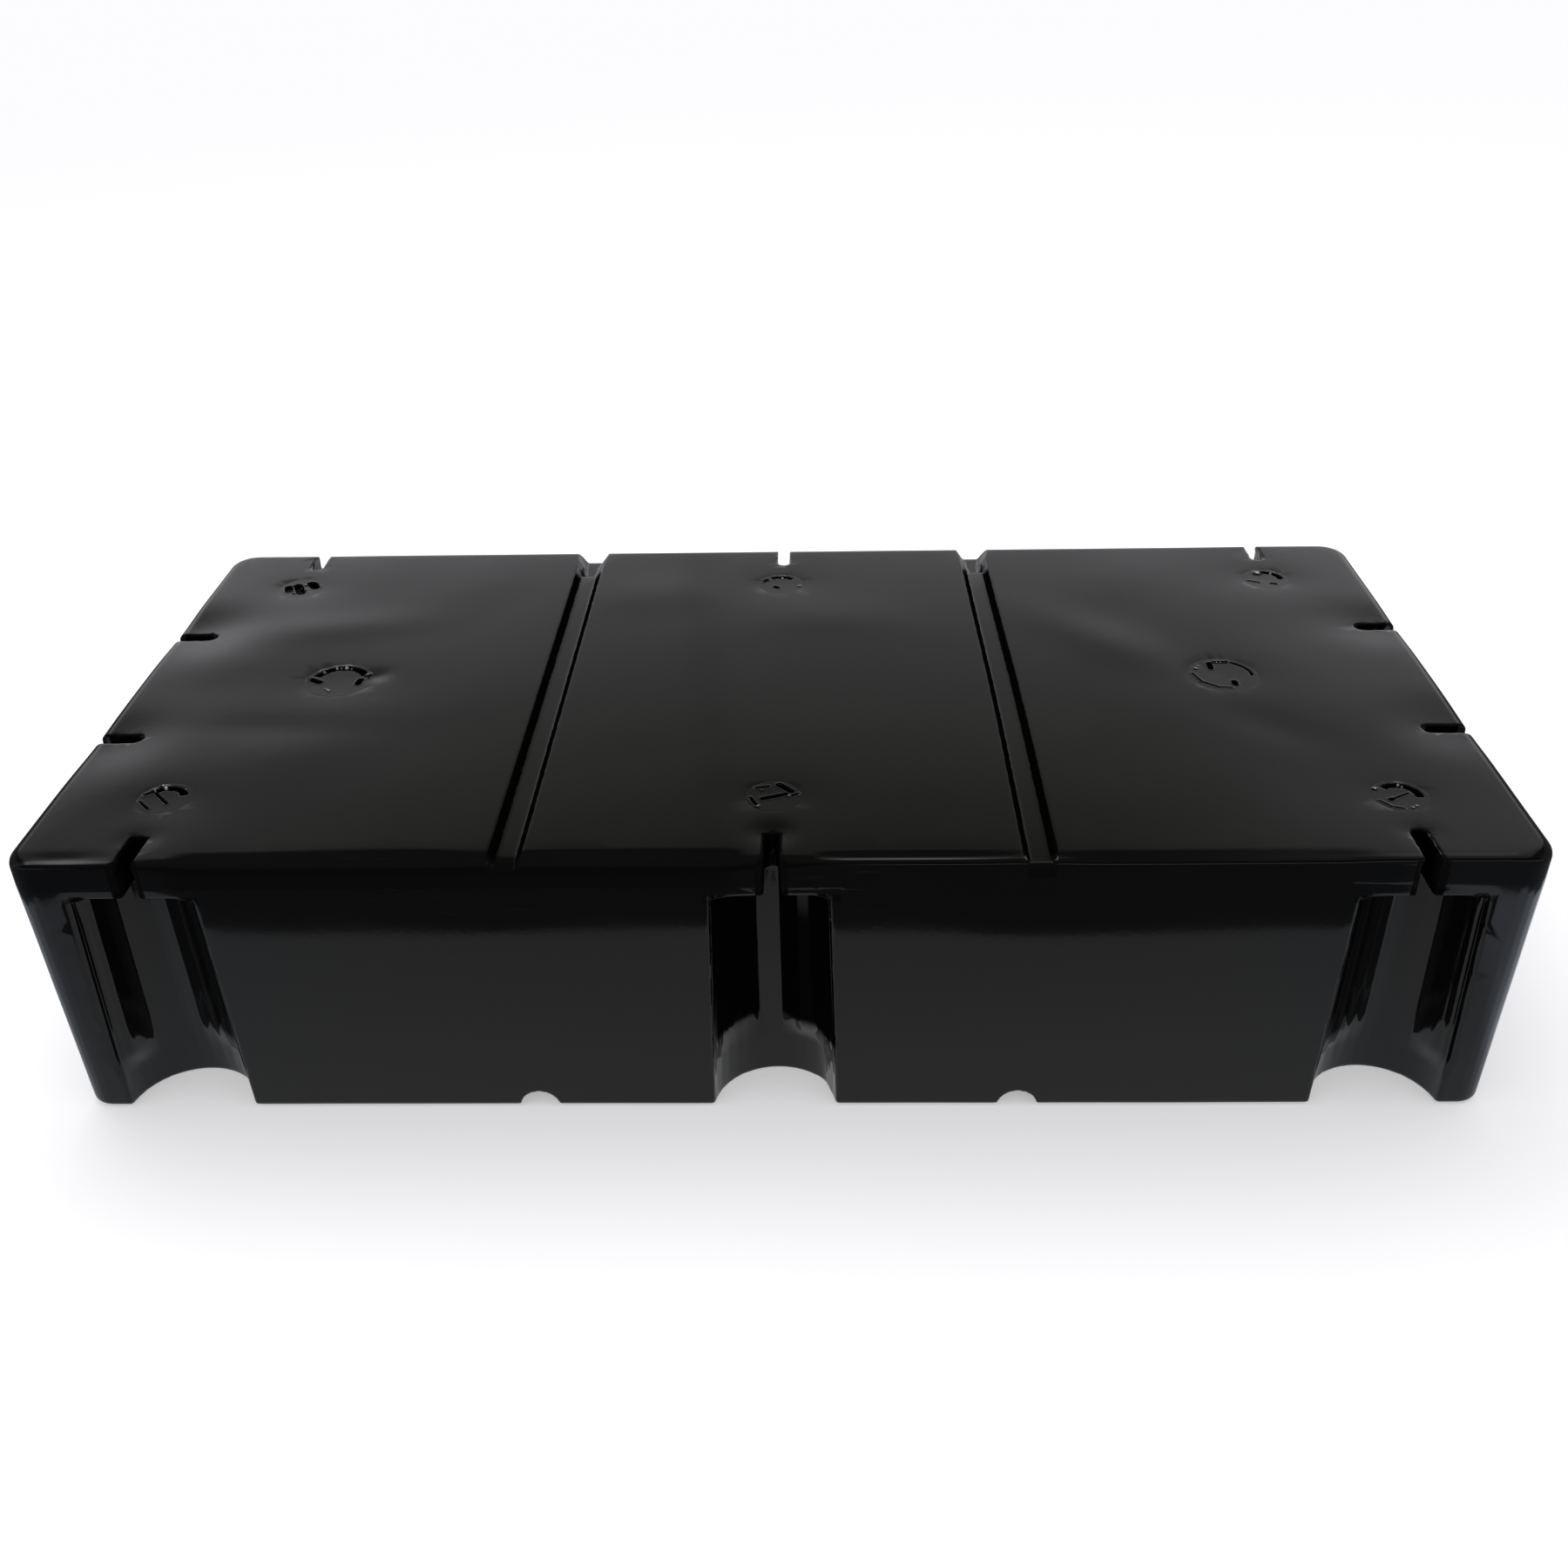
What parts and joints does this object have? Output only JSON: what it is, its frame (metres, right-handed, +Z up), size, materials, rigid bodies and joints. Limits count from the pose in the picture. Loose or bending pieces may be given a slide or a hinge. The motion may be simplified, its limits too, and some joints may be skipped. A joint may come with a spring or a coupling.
{
  "type": "dock float drum",
  "caption": "Sealed black plastic dock float: a rectangular block with open bolt slots through its rim, half-round wall pockets below them, strap channels across the deck, and welded plugs.",
  "frame": {"origin": "centre of the block's footprint on the ground, under the base", "axes": "+X along the float's length, +Y from the front long side to the back long side, +Z up through the deck"},
  "size_m": [1.22, 0.61, 0.26],
  "materials": {
    "float": "black moulded polyethylene, glossy, with broad soft waves",
    "plugs": "black moulded polyethylene, glossy"
  },
  "bodies": {
    "root": {"float_body": "float", "vent_plug_front_left": "plugs", "vent_plug_front_middle": "plugs", "vent_plug_front_right": "plugs", "vent_plug_back_left": "plugs", "vent_plug_back_middle": "plugs", "vent_plug_back_right": "plugs", "fill_plug_left": "plugs", "fill_plug_right": "plugs"}
  },
  "joints": []
}
